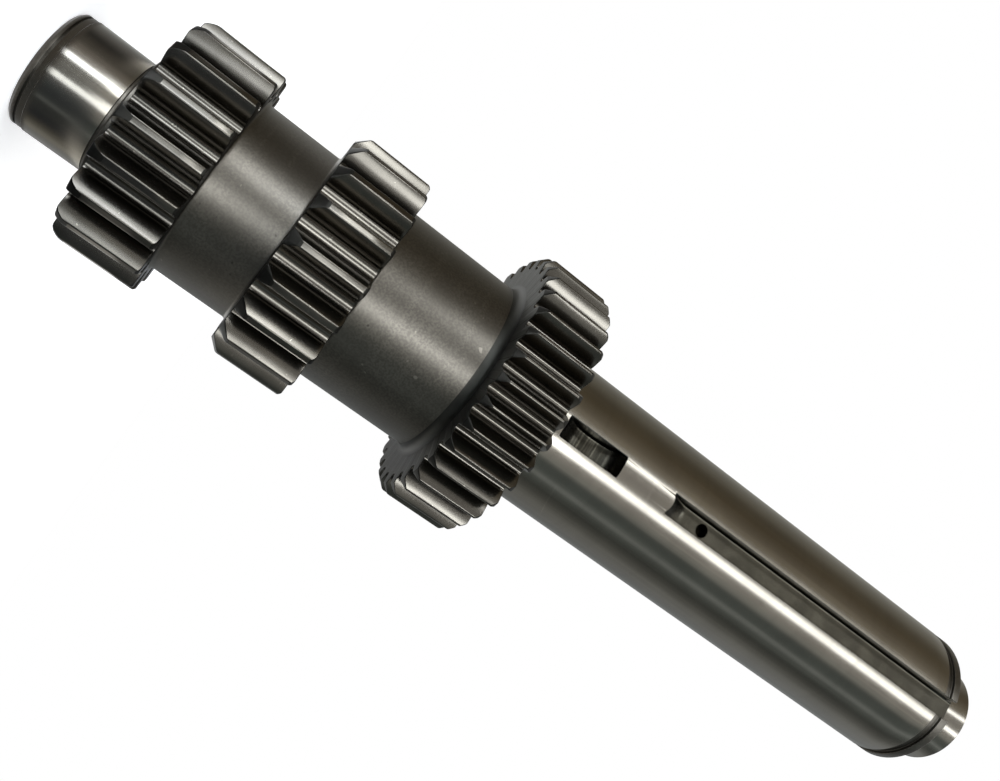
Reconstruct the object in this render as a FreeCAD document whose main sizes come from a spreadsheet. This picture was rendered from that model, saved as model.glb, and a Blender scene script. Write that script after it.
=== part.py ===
import FreeCAD, Part
import Sketcher
import os

# A gearbox countershaft made from one forging: journal, three spur gears, two plain collars,
# a long keyed seat and a stub. It stands on the end face of its journal: the origin is the centre
# of that face, +Z runs along the shaft to the keyed end, and both key slots face -Y.
# Lengths are millimetres, and every station is measured from the journal's end face.

NODE = "countershaft"

# Diameters of the turned and ground lands, in the order in which they follow each other.
DIAMETERS = {
    "lead_band_diameter": 49.4,
    "score_diameter": 48.4,
    "journal_diameter": 50,
    "journal_relief_diameter": 49,
    "shoulder_diameter": 62,
    "first_collar_diameter": 79,
    "second_collar_diameter": 81.5,
    "seat_diameter": 69,
    "ring_groove_diameter": 65.8,
    "neck_diameter": 55,
    "stub_diameter": 50,
}

# Where each land begins or ends along the shaft.
STATIONS = {
    "score_start": 2.8,
    "score_end": 3.5,
    "journal_start": 5.7,
    "journal_end": 30.2,
    "shoulder_start": 32.4,
    "ring_groove_start": 475,
    "ring_groove_end": 479.3,
    "rim_end": 483.5,
    "neck_end": 487.8,
    "overall_length": 504,
}

# Edge breaks, the flares where a land meets the side of a gear, and the 60 degree lathe centres.
DETAILS = {
    "end_chamfer": 1.4,
    "shoulder_chamfer": 0.6,
    "corner_flare": 1,
    "web_flare": 3.5,
    "centre_mouth_diameter": 12.5,
    "centre_pilot_diameter": 5,
    "centre_depth": 6.5,
}

# The slots are cut by one disc cutter; the long one runs out through the rim and the neck.
SLOTS = {
    "key_width": 10,
    "cutter_radius": 17,
    "short_slot_middle": 254,
    "short_slot_floor": 23.5,
    "long_slot_start": 296.8,
    "long_slot_floor": 26.6,
    "pin_hole_diameter": 6,
    "pin_hole_station": 321.5,
    "pin_hole_depth": 12,
}

# One set of figures per gear. The tip land is the width of a tooth's flat top. The involute flank
# ends at the form diameter, a straight side runs on to the foot, which is given as a height over
# the axis, and the bottom of the space is round. Lead and tail are the chamfers on the tooth ends
# towards the journal and towards the stub, and lead_drop is how deep the lead chamfer cuts.
GEARS = {
    "first_gear": {
        "teeth": 19, "module": 4.8, "pressure_angle": 20,
        "tip_diameter": 103, "form_diameter": 86.4, "foot_height": 42.3,
        "root_diameter": 82.6, "tip_land": 2.8,
        "start": 35.9, "end": 71, "lead": 3.5, "lead_drop": 1.9, "tail": 0.8,
    },
    "second_gear": {
        "teeth": 19, "module": 5, "pressure_angle": 20,
        "tip_diameter": 107, "form_diameter": 90, "foot_height": 44.2,
        "root_diameter": 86.4, "tip_land": 2.7,
        "start": 105.2, "end": 139.6, "lead": 4.8, "lead_drop": 4.8, "tail": 1,
    },
    "third_gear": {
        "teeth": 34, "module": 3.4, "pressure_angle": 25,
        "tip_diameter": 123, "form_diameter": 109, "foot_height": 53.75,
        "root_diameter": 106.8, "tip_land": 1,
        "start": 196.4, "end": 229, "lead": 3.3, "lead_drop": 3.3, "tail": 2,
    },
}

# How far a tooth-space cutter runs past the gear's faces and past its tips.
OVERRUN = 1.5
# Points nearer than this are the same corner.
TOLERANCE = 1e-4


def fill_sheet(doc):
    """Put every driving dimension into the sheet, one alias per row."""
    sheet = doc.addObject("Spreadsheet::Sheet", "sizes")
    rows = {}
    for group in (DIAMETERS, STATIONS, DETAILS, SLOTS):
        rows.update(group)
    for gear, figures in GEARS.items():
        for name, value in figures.items():
            rows[gear + "_" + name] = value
    for row, (alias, value) in enumerate(rows.items(), start=1):
        sheet.set("A%d" % row, alias.replace("_", " "))
        sheet.set("B%d" % row, str(value))
        sheet.setAlias("B%d" % row, alias)
    doc.recompute()


def origin_plane(body, role):
    """The body's own origin plane or axis with this role."""
    return next(item for item in body.Origin.OriginFeatures if item.Role == role)


def new_sketch(body, name, role):
    sketch = body.newObject("Sketcher::SketchObject", name)
    sketch.AttachmentSupport = [(origin_plane(body, role), "")]
    sketch.MapMode = "FlatFace"
    return sketch


def pin_point(sketch, geometry, position, across, along, label):
    """Hold one point of a sketch at the distances from the axes that the expressions give."""
    for kind, expression, axis in (("DistanceX", across, -2), ("DistanceY", along, -1)):
        if expression == "0":
            sketch.addConstraint(Sketcher.Constraint("PointOnObject", geometry, position, axis))
            continue
        value = getattr(sketch.getPoint(geometry, position), "x" if kind == "DistanceX" else "y")
        ends = (-1, 1, geometry, position) if value > 0 else (geometry, position, -1, 1)
        index = sketch.addConstraint(Sketcher.Constraint(kind, *ends, abs(value)))
        name = "%s_%s" % (label, "across" if kind == "DistanceX" else "along")
        sketch.renameConstraint(index, name)
        sketch.setExpression("Constraints." + name, expression)


def number(sketch, expression):
    """The value of an expression over the sheet, for a sketch's first draft."""
    return float(sketch.evalExpression(expression))


def half(alias):
    return "sizes.%s / 2" % alias


def at(alias):
    return "sizes." + alias


def gear_outline(gear):
    """The blank of one gear: its two faces, its tip and a chamfer at each end of the teeth."""
    tip = half(gear + "_tip_diameter")
    start, end = at(gear + "_start"), at(gear + "_end")
    lead, drop, tail = at(gear + "_lead"), at(gear + "_lead_drop"), at(gear + "_tail")
    return [
        ("%s - %s" % (tip, drop), start),
        (tip, "%s + %s" % (start, lead)),
        (tip, "%s - %s" % (end, tail)),
        ("%s - %s" % (tip, tail), end),
    ]


def land(diameter, start, end):
    """A plain cylinder between two stations."""
    return [(half(diameter), at(start)), (half(diameter), at(end))]


def flare(diameter, face, size, side):
    """The cone in the corner between a land and a gear's face: from the land up to the face."""
    foot = (half(diameter), "%s %s %s" % (at(face), side, at(size)))
    return [foot, ("%s + %s" % (half(diameter), at(size)), at(face))]


def shaft_outline():
    """The half section of the turned blank, from the journal's end face to the stub's."""
    pilot, mouth = half("centre_pilot_diameter"), half("centre_mouth_diameter")
    chamfer, far_end = at("end_chamfer"), at("overall_length")
    edge = at("shoulder_chamfer")
    outline = [("0", at("centre_depth")), (pilot, at("centre_depth")), (mouth, "0")]
    outline += [("%s - %s" % (half("lead_band_diameter"), chamfer), "0")]
    outline += [(half("lead_band_diameter"), chamfer), (half("lead_band_diameter"), at("score_start"))]
    outline += land("score_diameter", "score_start", "score_end")
    outline += land("lead_band_diameter", "score_end", "journal_start")
    outline += land("journal_diameter", "journal_start", "journal_end")
    outline += land("journal_relief_diameter", "journal_end", "shoulder_start")
    outline += [("%s - %s" % (half("shoulder_diameter"), edge), at("shoulder_start"))]
    outline += [(half("shoulder_diameter"), "%s + %s" % (at("shoulder_start"), edge))]
    outline += flare("shoulder_diameter", "first_gear_start", "corner_flare", "-")
    outline += gear_outline("first_gear")
    outline += reversed(flare("first_collar_diameter", "first_gear_end", "corner_flare", "+"))
    outline += flare("first_collar_diameter", "second_gear_start", "corner_flare", "-")
    outline += gear_outline("second_gear")
    outline += reversed(flare("second_collar_diameter", "second_gear_end", "corner_flare", "+"))
    outline += flare("second_collar_diameter", "third_gear_start", "web_flare", "-")
    outline += gear_outline("third_gear")
    outline += reversed(flare("seat_diameter", "third_gear_end", "corner_flare", "+"))
    outline += [(half("seat_diameter"), at("ring_groove_start"))]
    outline += land("ring_groove_diameter", "ring_groove_start", "ring_groove_end")
    outline += land("seat_diameter", "ring_groove_end", "rim_end")
    outline += land("neck_diameter", "rim_end", "neck_end")
    outline += [(half("stub_diameter"), at("neck_end"))]
    outline += [(half("stub_diameter"), "%s - %s" % (far_end, chamfer))]
    outline += [("%s - %s" % (half("stub_diameter"), chamfer), far_end), (mouth, far_end)]
    outline += [(pilot, "%s - %s" % (far_end, at("centre_depth")))]
    outline += [("0", "%s - %s" % (far_end, at("centre_depth")))]
    return outline


def turn_blank(doc, body):
    """Revolve the half section about the shaft's axis."""
    sketch = new_sketch(body, "shaft_section", "XZ_Plane")
    outline = shaft_outline()
    corners = [FreeCAD.Vector(number(sketch, r), number(sketch, z), 0) for r, z in outline]
    count = len(corners)
    for index, corner in enumerate(corners):
        sketch.addGeometry(Part.LineSegment(corner, corners[(index + 1) % count]), False)
    for index in range(count):
        sketch.addConstraint(Sketcher.Constraint("Coincident", index, 2, (index + 1) % count, 1))
    for index, (radius, station) in enumerate(outline):
        pin_point(sketch, index, 1, radius, station, "corner_%d" % index)
    doc.recompute()
    blank = body.newObject("PartDesign::Revolution", "turned_blank")
    blank.Profile = sketch
    blank.ReferenceAxis = (sketch, ["V_Axis"])
    blank.Angle = 360
    body.Tip = blank
    doc.recompute()


def involute(ratio):
    """Involute function of the pressure angle whose cosine is this ratio."""
    return "(tan(acos(%s)) - acos(%s) / 1 rad)" % (ratio, ratio)


def space_point(gear, radius):
    """A point on the flank of the tooth space that is centred on -Y: how far across and along."""
    tip = half(gear + "_tip_diameter")
    teeth, module = at(gear + "_teeth"), at(gear + "_module")
    base = "%s * %s * cos(%s * 1 deg) / 2" % (module, teeth, at(gear + "_pressure_angle"))
    half_land = "%s / %s" % (at(gear + "_tip_land"), at(gear + "_tip_diameter"))
    lean = "%s - %s" % (involute("%s / (%s)" % (base, tip)), involute("%s / (%s)" % (base, radius)))
    angle = "180 deg / %s - (%s + %s) * 1 rad" % (teeth, half_land, lean)
    return "(%s) * sin(%s)" % (radius, angle), "(%s) * cos(%s)" % (radius, angle)


def draw_space(body, gear, overrun):
    """The outline of one tooth space, closed by a lid outside the tips."""
    sketch = new_sketch(body, gear + "_space", "XY_Plane")
    sketch.setExpression("AttachmentOffset.Base.z", "%s - %g" % (at(gear + "_start"), overrun))
    outer = "%s + %g" % (half(gear + "_tip_diameter"), overrun)
    form = half(gear + "_form_diameter")
    places = {
        "outer": space_point(gear, outer),
        "middle": space_point(gear, "(%s + %s) / 2" % (outer, form)),
        "form": space_point(gear, form),
        "foot": (space_point(gear, form)[0], at(gear + "_foot_height")),
    }
    near = {name: FreeCAD.Vector(number(sketch, x), -number(sketch, y), 0)
            for name, (x, y) in places.items()}
    far = {name: FreeCAD.Vector(-spot.x, spot.y, 0) for name, spot in near.items()}
    root = FreeCAD.Vector(0, -number(sketch, half(gear + "_root_diameter")), 0)

    pieces = [
        (Part.LineSegment(far["outer"], near["outer"]), far["outer"], near["outer"]),
        (Part.Arc(near["outer"], near["middle"], near["form"]), near["outer"], near["form"]),
        (Part.LineSegment(near["form"], near["foot"]), near["form"], near["foot"]),
        (Part.Arc(near["foot"], root, far["foot"]), near["foot"], far["foot"]),
        (Part.LineSegment(far["foot"], far["form"]), far["foot"], far["form"]),
        (Part.Arc(far["form"], far["middle"], far["outer"]), far["form"], far["outer"]),
    ]
    curves = [sketch.addGeometry(piece, False) for piece, _, _ in pieces]

    def end_at(curve, spot):
        """Which end of a curve lies at a spot."""
        return 1 if sketch.getPoint(curve, 1).distanceToPoint(spot) < TOLERANCE else 2

    for index, (_, _, spot) in enumerate(pieces):
        one, other = curves[index], curves[(index + 1) % len(curves)]
        ends = (one, end_at(one, spot), other, end_at(other, spot))
        sketch.addConstraint(Sketcher.Constraint("Coincident", *ends))
    corners = [(1, near, "outer"), (2, near, "form"), (3, near, "foot")]
    corners += [(4, far, "foot"), (5, far, "form"), (0, far, "outer")]
    for index, side, name in corners:
        curve = curves[index]
        label = ("near_" if side is near else "far_") + name
        pin_point(sketch, curve, end_at(curve, side[name]), *places[name], label)
    guides = [
        (curves[1], near["middle"], places["middle"]),
        (curves[3], root, ("0", half(gear + "_root_diameter"))),
        (curves[5], far["middle"], places["middle"]),
    ]
    for curve, spot, (across, along) in guides:
        guide = sketch.addGeometry(Part.Point(spot), True)
        pin_point(sketch, guide, 1, across, along, "guide_%d" % guide)
        sketch.addConstraint(Sketcher.Constraint("PointOnObject", guide, 1, curve))
    return sketch


def cut_teeth(doc, body, gear, overrun):
    """Cut one tooth space between two involute flanks, then repeat it round the axis."""
    sketch = draw_space(body, gear, overrun)
    doc.recompute()
    before = body.Tip.Shape.Volume
    space = body.newObject("PartDesign::Pocket", gear + "_tooth_space")
    space.Profile = sketch
    space.Reversed = True
    space.setExpression("Length", "%s - %s + %g" % (at(gear + "_end"), at(gear + "_start"), 2 * overrun))
    body.Tip = space
    doc.recompute()
    one_space = before - space.Shape.Volume
    ring = body.newObject("PartDesign::PolarPattern", gear + "_teeth")
    ring.Originals = [space]
    ring.Axis = (origin_plane(body, "Z_Axis"), [""])
    ring.Angle = 360
    ring.setExpression("Occurrences", at(gear + "_teeth"))
    body.Tip = ring
    doc.recompute()
    all_spaces = before - ring.Shape.Volume
    teeth = GEARS[gear]["teeth"]
    print("%s: one space %.0f, %d spaces %.0f mm3" % (gear, one_space, teeth, all_spaces))
    if one_space <= 0 or abs(all_spaces - teeth * one_space) > 0.01 * all_spaces:
        raise RuntimeError("the tooth spaces of %s were not all cut" % gear)


def cutter_section(doc, body, name, floor_alias, middle):
    """The disc cutter's rim in the plane through its own axis: two walls, a floor and a lid."""
    sketch = new_sketch(body, name, "XY_Plane")
    sketch.setExpression("AttachmentOffset.Base.z", middle)
    wall, floor = half("key_width"), at(floor_alias)
    lid = "%s + %g" % (half("seat_diameter"), OVERRUN)
    axis = "%s + %s" % (floor, at("cutter_radius"))
    width, low, high = number(sketch, wall), -number(sketch, floor), -number(sketch, lid)
    rim = [(width, high), (width, low), (-width, low), (-width, high)]
    corners = [FreeCAD.Vector(x, y, 0) for x, y in rim]
    for index, corner in enumerate(corners):
        sketch.addGeometry(Part.LineSegment(corner, corners[(index + 1) % 4]), False)
    for index in range(4):
        sketch.addConstraint(Sketcher.Constraint("Coincident", index, 2, (index + 1) % 4, 1))
    for index, height in enumerate((lid, floor, floor, lid)):
        pin_point(sketch, index, 1, wall, height, "corner_%d" % index)
    height = -number(sketch, axis)
    ends = [FreeCAD.Vector(-width, height, 0), FreeCAD.Vector(width, height, 0)]
    line = sketch.addGeometry(Part.LineSegment(*ends), True)
    pin_point(sketch, line, 1, wall, axis, "axis_left")
    pin_point(sketch, line, 2, wall, axis, "axis_right")
    doc.recompute()
    return sketch


def finish_cut(doc, body, cut, before):
    """Make a cut the body's tip and make sure that it removes metal."""
    body.Tip = cut
    doc.recompute()
    removed = before - cut.Shape.Volume
    print("%s removes %.0f mm3" % (cut.Label, removed))
    if removed <= 0:
        raise RuntimeError(cut.Label + " removes nothing")


def plunge_cutter(doc, body, sketch, name):
    """Turn the cutter's rim about its own axis: the pit that one plunge leaves."""
    before = body.Tip.Shape.Volume
    pit = body.newObject("PartDesign::Groove", name)
    pit.Profile = sketch
    pit.ReferenceAxis = (sketch, ["Axis0"])
    pit.Angle = 360
    finish_cut(doc, body, pit, before)


def cut_short_slot(doc, body):
    """The key seat beside the third gear: one straight plunge of the disc cutter."""
    sketch = cutter_section(doc, body, "short_slot_section", "short_slot_floor", at("short_slot_middle"))
    plunge_cutter(doc, body, sketch, "short_key_slot")


def cut_long_slot(doc, body):
    """The key slot: a plunge at its closed end, then a level floor out through rim and neck."""
    depth = "(%s - %s)" % (half("seat_diameter"), at("long_slot_floor"))
    reach = "sqrt(%s * (2 * %s - %s))" % (depth, at("cutter_radius"), depth)
    middle = "%s + %s" % (at("long_slot_start"), reach)
    sketch = cutter_section(doc, body, "long_slot_section", "long_slot_floor", middle)
    before = body.Tip.Shape.Volume
    run = body.newObject("PartDesign::Pocket", "long_key_slot")
    run.Profile = sketch
    run.Reversed = True
    run.setExpression("Length", "%s - (%s)" % (at("overall_length"), middle))
    finish_cut(doc, body, run, before)
    sketch = cutter_section(doc, body, "long_slot_end_section", "long_slot_floor", middle)
    plunge_cutter(doc, body, sketch, "long_key_slot_end")


def drill_pin_hole(doc, body):
    """The blind hole in the slot's floor for the pin that holds a key."""
    sketch = new_sketch(body, "pin_hole_centre", "XZ_Plane")
    sketch.setExpression("AttachmentOffset.Base.z", at("long_slot_floor"))
    station = number(sketch, at("pin_hole_station"))
    radius = number(sketch, half("pin_hole_diameter"))
    circle = Part.Circle(FreeCAD.Vector(0, station, 0), FreeCAD.Vector(0, 0, 1), radius)
    ring = sketch.addGeometry(circle, False)
    pin_point(sketch, ring, 3, "0", at("pin_hole_station"), "hole")
    index = sketch.addConstraint(Sketcher.Constraint("Radius", ring, radius))
    sketch.renameConstraint(index, "hole_radius")
    sketch.setExpression("Constraints.hole_radius", half("pin_hole_diameter"))
    doc.recompute()
    before = body.Tip.Shape.Volume
    hole = body.newObject("PartDesign::Hole", "pin_hole")
    hole.Profile = sketch
    hole.Diameter = 2 * radius
    hole.setExpression("Diameter", at("pin_hole_diameter"))
    hole.DepthType = "Dimension"
    hole.setExpression("Depth", at("pin_hole_depth"))
    hole.DrillPoint = "Angled"
    finish_cut(doc, body, hole, before)


def check_document(doc, body):
    """Stop unless every object computed and the finished body is one valid solid."""
    for item in doc.Objects:
        if "Invalid" in item.State or "Error" in item.State:
            raise RuntimeError("%s did not compute: %s" % (item.Label, item.State))
    shape = body.Shape
    if shape.isNull() or not shape.isValid() or len(shape.Solids) != 1:
        raise RuntimeError("%s is not one valid solid" % body.Label)


def main():
    doc = FreeCAD.newDocument("countershaft")
    fill_sheet(doc)
    body = doc.addObject("PartDesign::Body", NODE)
    body.Label = NODE
    turn_blank(doc, body)
    for gear in GEARS:
        cut_teeth(doc, body, gear, OVERRUN)
    cut_short_slot(doc, body)
    cut_long_slot(doc, body)
    drill_pin_hole(doc, body)
    check_document(doc, body)
    os.makedirs("parts", exist_ok=True)
    body.Shape.exportStep("parts/%s.step" % NODE)
    box = body.Shape.BoundBox
    sides = (box.XLength, box.YLength, box.ZLength)
    print("%s %.1f x %.1f x %.1f mm, %.0f mm3" % (NODE, *sides, body.Shape.Volume))


main()
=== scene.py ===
import math

import bpy
import numpy as np
from bpy.props import FloatProperty, FloatVectorProperty, PointerProperty, StringProperty
from bpy.types import Operator, Panel, PropertyGroup
from mathutils import Matrix, Vector


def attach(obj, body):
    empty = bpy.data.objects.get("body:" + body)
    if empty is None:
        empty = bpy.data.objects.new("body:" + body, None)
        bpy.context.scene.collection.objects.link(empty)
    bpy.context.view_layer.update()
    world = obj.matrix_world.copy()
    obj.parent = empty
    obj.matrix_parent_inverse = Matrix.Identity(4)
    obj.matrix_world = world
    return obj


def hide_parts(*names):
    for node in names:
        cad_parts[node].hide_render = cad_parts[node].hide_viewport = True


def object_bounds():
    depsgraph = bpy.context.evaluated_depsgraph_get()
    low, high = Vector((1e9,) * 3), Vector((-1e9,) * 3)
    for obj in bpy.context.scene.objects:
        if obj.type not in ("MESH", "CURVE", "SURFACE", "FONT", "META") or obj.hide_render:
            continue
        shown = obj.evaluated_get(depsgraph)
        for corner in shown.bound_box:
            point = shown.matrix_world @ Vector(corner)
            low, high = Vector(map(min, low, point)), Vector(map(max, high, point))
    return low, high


bl_info = {
    "name": "Countershaft",
    "version": (1, 0, 0),
    "blender": (4, 5, 0),
    "location": "View3D > Sidebar > Countershaft",
    "description": "A forged gearbox countershaft with its machined and ground finishes",
    "category": "Mesh",
}

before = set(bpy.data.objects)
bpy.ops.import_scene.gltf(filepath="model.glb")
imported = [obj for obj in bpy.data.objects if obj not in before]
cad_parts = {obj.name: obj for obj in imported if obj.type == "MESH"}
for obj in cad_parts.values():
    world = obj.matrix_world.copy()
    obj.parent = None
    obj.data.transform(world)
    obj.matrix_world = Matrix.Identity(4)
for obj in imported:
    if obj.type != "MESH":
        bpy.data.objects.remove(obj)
CAD_BOX = [list(corner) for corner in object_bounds()]

NODE = "countershaft"
BODY = "root"
MM = 0.001

# The frame's box gives the shaft's length. Every station is measured in millimetres from the
# journal's end face, which stands on the floor.
LENGTH = CAD_BOX[1][2] / MM

# Points nearer than this, in metres, are welded.
WELD = 2e-7
# Faces that meet at more than this angle keep a sharp edge between them.
SHARP_ANGLE = math.radians(32)
# Where the shaft is thinner than this radius, the columns across the slots move together.
THIN = 22 * MM
# A station between the two slots.
BETWEEN_SLOTS = 270 * MM
# Roundings of the gears, in millimetres: of a tooth's tip and of the borders of its ends.
TIP_EDGE = 0.42
END_EDGE = 0.22

# One set of figures per gear, in millimetres: the same teeth as the forging's.
# The last figure scales the colour of the gear's sides and is painted shade: darker on the
# first two gears, whose sides lie in the shadow near the shaft, than on the third.
GEARS = {
    "first_gear": {
        "teeth": 19, "module": 4.8, "pressure_angle": 20, "tip": 51.5, "form": 43.2,
        "foot": 42.7, "root": 41.3, "land": 2.8, "start": 35.9, "end": 71, "bore": 30,
        "lead": 3.7, "lead_drop": 2.2, "lead_rounding": 8, "tail": 0.8, "tail_rounding": 0.4,
        "side_painted_shade": 0.8,
    },
    "second_gear": {
        "teeth": 19, "module": 5, "pressure_angle": 20, "tip": 53.5, "form": 45,
        "foot": 44.5, "root": 43.2, "land": 2.7, "start": 105.2, "end": 139.6, "bore": 36,
        "lead": 4.8, "lead_drop": 4.8, "lead_rounding": 2, "tail": 1, "tail_rounding": 0.5,
        "side_painted_shade": 0.8,
    },
    "third_gear": {
        "teeth": 34, "module": 3.4, "pressure_angle": 25, "tip": 61.5, "form": 54.5,
        "foot": 54.3, "root": 53.4, "land": 1, "start": 196.4, "end": 229, "bore": 32,
        "lead": 3.3, "lead_drop": 3.3, "lead_rounding": 2, "tail": 2, "tail_rounding": 0.8,
        "side_painted_shade": 2,
    },
}


# Settings that a user would change.


class TurnedSizes(PropertyGroup):
    """Sizes of the turned and ground shaft."""

    journal: FloatProperty(
        name="Journal radius", description="Ground bearing seats at both ends",
        default=25 * MM, unit="LENGTH")
    seat: FloatProperty(
        name="Seat radius", description="Long ground seat with the key slots",
        default=34.5 * MM, unit="LENGTH")
    first_collar: FloatProperty(
        name="First collar radius", description="Plain land between the first two gears",
        default=39.5 * MM, unit="LENGTH")
    second_collar: FloatProperty(
        name="Second collar radius", description="Plain land before the third gear",
        default=40.75 * MM, unit="LENGTH")
    corner_radius: FloatProperty(
        name="Corner radius", description="Fillet where a land meets the side of a gear",
        default=1.4 * MM, unit="LENGTH")
    web_radius: FloatProperty(
        name="Web radius", description="Fillet before the third gear",
        default=4 * MM, unit="LENGTH")
    edge_break: FloatProperty(
        name="Edge break", description="Rounding of every turned edge",
        default=0.3 * MM, unit="LENGTH")


class SlotSizes(PropertyGroup):
    """Sizes of the two key slots and of the pin hole."""

    half_width: FloatProperty(
        name="Half width", description="Half the width of a key",
        default=5 * MM, unit="LENGTH")
    cutter: FloatProperty(
        name="Cutter radius", description="Radius of the disc that cuts both slots",
        default=17 * MM, unit="LENGTH")
    corner: FloatProperty(
        name="Floor corner", description="Radius between a slot's floor and its walls",
        default=1.1 * MM, unit="LENGTH")
    short_middle: FloatProperty(
        name="Short slot station", description="Middle of the short slot",
        default=254 * MM, unit="LENGTH")
    short_floor: FloatProperty(
        name="Short slot floor", description="Lowest height of the short slot's floor",
        default=23.5 * MM, unit="LENGTH")
    long_start: FloatProperty(
        name="Long slot station", description="Closed end of the long slot",
        default=296.8 * MM, unit="LENGTH")
    long_floor: FloatProperty(
        name="Long slot floor", description="Height of the long slot's floor",
        default=26.6 * MM, unit="LENGTH")
    bow: FloatProperty(
        name="End bow", description="How far the long slot's end lags behind its corners",
        default=1.7 * MM, unit="LENGTH")
    pin_radius: FloatProperty(
        name="Pin hole radius", description="Blind hole in the long slot's floor",
        default=3 * MM, unit="LENGTH")
    pin_station: FloatProperty(
        name="Pin hole station", description="Middle of the pin hole",
        default=321.5 * MM, unit="LENGTH")
    pin_depth: FloatProperty(
        name="Pin hole depth", description="Depth of the pin hole's wall",
        default=12 * MM, unit="LENGTH")


class Finishes(PropertyGroup):
    """Colours of the machined and ground surfaces."""

    ground: FloatVectorProperty(
        name="Ground steel", description="Journals and keyed seat",
        subtype="COLOR", default=(0.15, 0.137, 0.113), min=0, max=1)
    collar: FloatVectorProperty(
        name="Turned steel", description="Collars, shoulders and grooves",
        subtype="COLOR", default=(0.071, 0.0645, 0.053), min=0, max=1)
    tooth: FloatVectorProperty(
        name="Tooth steel", description="Flanks, roots and tips of the teeth",
        subtype="COLOR", default=(0.07, 0.064, 0.053), min=0, max=1)
    # Painted shade: this dark colour darkens the gear sides, which lie in shade near the shaft, and
    # the crease of the fillet before the third gear.
    side: FloatVectorProperty(
        name="Gear sides", description="Sides of the gears and the fillet before the third",
        subtype="COLOR", default=(0.02, 0.0195, 0.0165), min=0, max=1)
    # Painted shade: the chamfers' near-black colour stands in for the dark that they mirror below
    # the teeth.
    chamfer: FloatVectorProperty(
        name="Chamfers", description="Ends of the teeth, black with oil",
        subtype="COLOR", default=(0.015, 0.0142, 0.012), min=0, max=1)
    slot: FloatVectorProperty(
        name="Milled steel", description="Floors and walls of the key slots",
        subtype="COLOR", default=(0.052, 0.048, 0.036), min=0, max=1)


class Studio(PropertyGroup):
    """The camera and the floor."""

    lens: FloatProperty(
        name="Lens", description="Focal length on a sensor 36 millimetres wide",
        default=34.88, unit="CAMERA")
    distance: FloatProperty(
        name="Camera distance", description="From the shaft's axis",
        default=406.5 * MM, unit="LENGTH")
    height: FloatProperty(
        name="Camera height", description="Above the floor",
        default=100.7 * MM, unit="LENGTH")
    around: FloatProperty(
        name="Camera azimuth", description="From the key slots' side round to the right",
        default=math.radians(12.1), subtype="ANGLE")
    tilt: FloatProperty(
        name="Camera tilt", description="Upwards, along the shaft",
        default=math.radians(15.9), subtype="ANGLE")
    roll: FloatProperty(
        name="Camera roll", description="How far the shaft points below the image's horizontal",
        default=math.radians(36.44), subtype="ANGLE")
    aside: FloatProperty(
        name="Camera aside", description="How far the camera looks past the shaft's axis",
        default=math.radians(0.384), subtype="ANGLE")
    floor: FloatVectorProperty(
        name="Floor", description="Colour of the floor",
        subtype="COLOR", default=(0.86, 0.86, 0.86), min=0, max=1)


# Meshes: a surface is a grid of points, worked out as whole arrays.


def grid_faces(rows, columns, closed):
    """Quads of a grid that wraps round its columns, and round its rows too where it is closed."""
    row = np.arange(rows if closed else rows - 1)[:, None]
    column = np.arange(columns)[None, :]
    below, above = row * columns, (row + 1) % rows * columns
    ahead = (column + 1) % columns
    corners = (below + column, below + ahead, above + ahead, above + column)
    return np.stack(np.broadcast_arrays(*corners), axis=-1).reshape(-1, 4)


def build_mesh(name, points, quads, finishes):
    """Weld points that fall together, drop the corners that vanish, and fill a mesh."""
    cells = np.round(points / WELD).astype(np.int64)
    _, first, merged = np.unique(cells, axis=0, return_index=True, return_inverse=True)
    quads = merged.reshape(-1)[quads]
    kept = quads != np.roll(quads, -1, axis=1)
    corners = kept.sum(axis=1)
    real = corners >= 3
    quads, kept, corners, finishes = quads[real], kept[real], corners[real], finishes[real]
    loops = quads[kept]
    starts = np.concatenate(([0], np.cumsum(corners)[:-1]))
    used, loops = np.unique(loops, return_inverse=True)
    mesh = bpy.data.meshes.new(name)
    mesh.vertices.add(len(used))
    mesh.vertices.foreach_set("co", points[first[used]].astype(np.float32).ravel())
    mesh.loops.add(len(loops))
    mesh.loops.foreach_set("vertex_index", loops.ravel().astype(np.int32))
    mesh.polygons.add(len(starts))
    mesh.polygons.foreach_set("loop_start", starts.astype(np.int32))
    mesh.polygons.foreach_set("material_index", finishes.astype(np.int32))
    mesh.update(calc_edges=True)
    mesh.validate()
    mesh.polygons.foreach_set("use_smooth", np.ones(len(mesh.polygons), bool))
    mesh.set_sharp_from_angle(angle=SHARP_ANGLE)
    return mesh


def add_piece(name, points, closed, finishes, materials):
    """Show a grid of points as a piece that stands for the forging and moves with it."""
    faces = grid_faces(*points.shape[:2], closed)
    mesh = build_mesh(name, points.reshape(-1, 3), faces, finishes)
    for material in materials:
        mesh.materials.append(material)
    piece = bpy.data.objects.new(name, mesh)
    bpy.context.scene.collection.objects.link(piece)
    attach(piece, BODY)
    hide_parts(NODE)


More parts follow.
